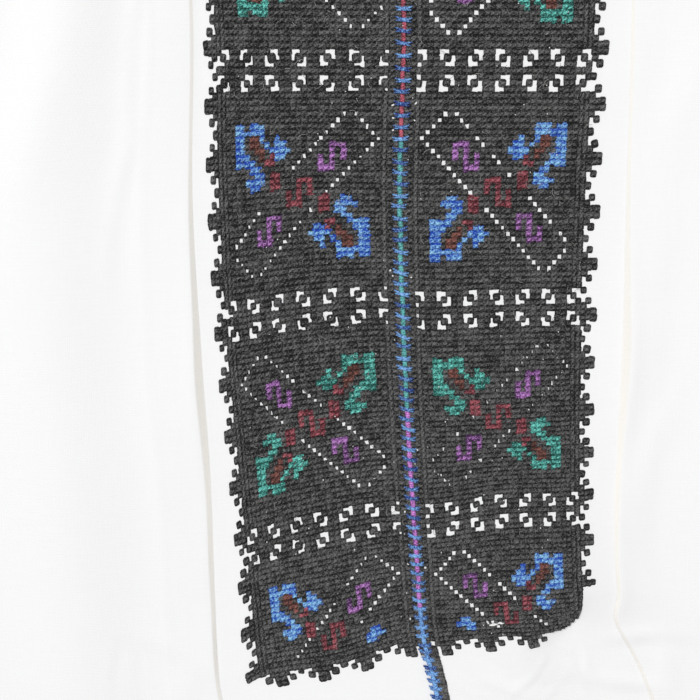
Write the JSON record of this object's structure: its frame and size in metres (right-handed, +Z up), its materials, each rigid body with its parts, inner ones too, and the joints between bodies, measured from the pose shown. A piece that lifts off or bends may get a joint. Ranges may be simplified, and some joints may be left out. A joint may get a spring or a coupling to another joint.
{
  "type": "romanian ie blouse",
  "caption": "Straight-cut linen folk blouse laid flat, front up, with a dense cross-stitched wool panel, a raised coloured joining seam, gathered neck and gathered cuffs.",
  "frame": {"origin": "bottom centre of the whole laid blouse, on the surface that it lies on", "axes": "+X towards the viewer's right as the front is seen, +Y from hem to neck, +Z up out of the front"},
  "size_m": [1.283, 0.639, 0.0162],
  "materials": {
    "linen": "off-white plain-weave linen, matt, softly creased",
    "wool": "dense black wool cross-stitch with blue, green, purple, red and brown figures and bare white bands",
    "seam_thread": "barbed blue wool stitches over a core that changes from red to green, purple and blue"
  },
  "bodies": {
    "root": {"back": "linen", "front_left": "linen", "front_right": "linen", "sleeve_left": "linen", "sleeve_right": "linen", "gusset_left": "linen", "gusset_right": "linen", "cuff_left": "linen", "cuff_right": "linen", "neckband": "linen", "embroidery_left": "wool", "embroidery_right": "wool", "joining_seam": "seam_thread"}
  },
  "joints": []
}
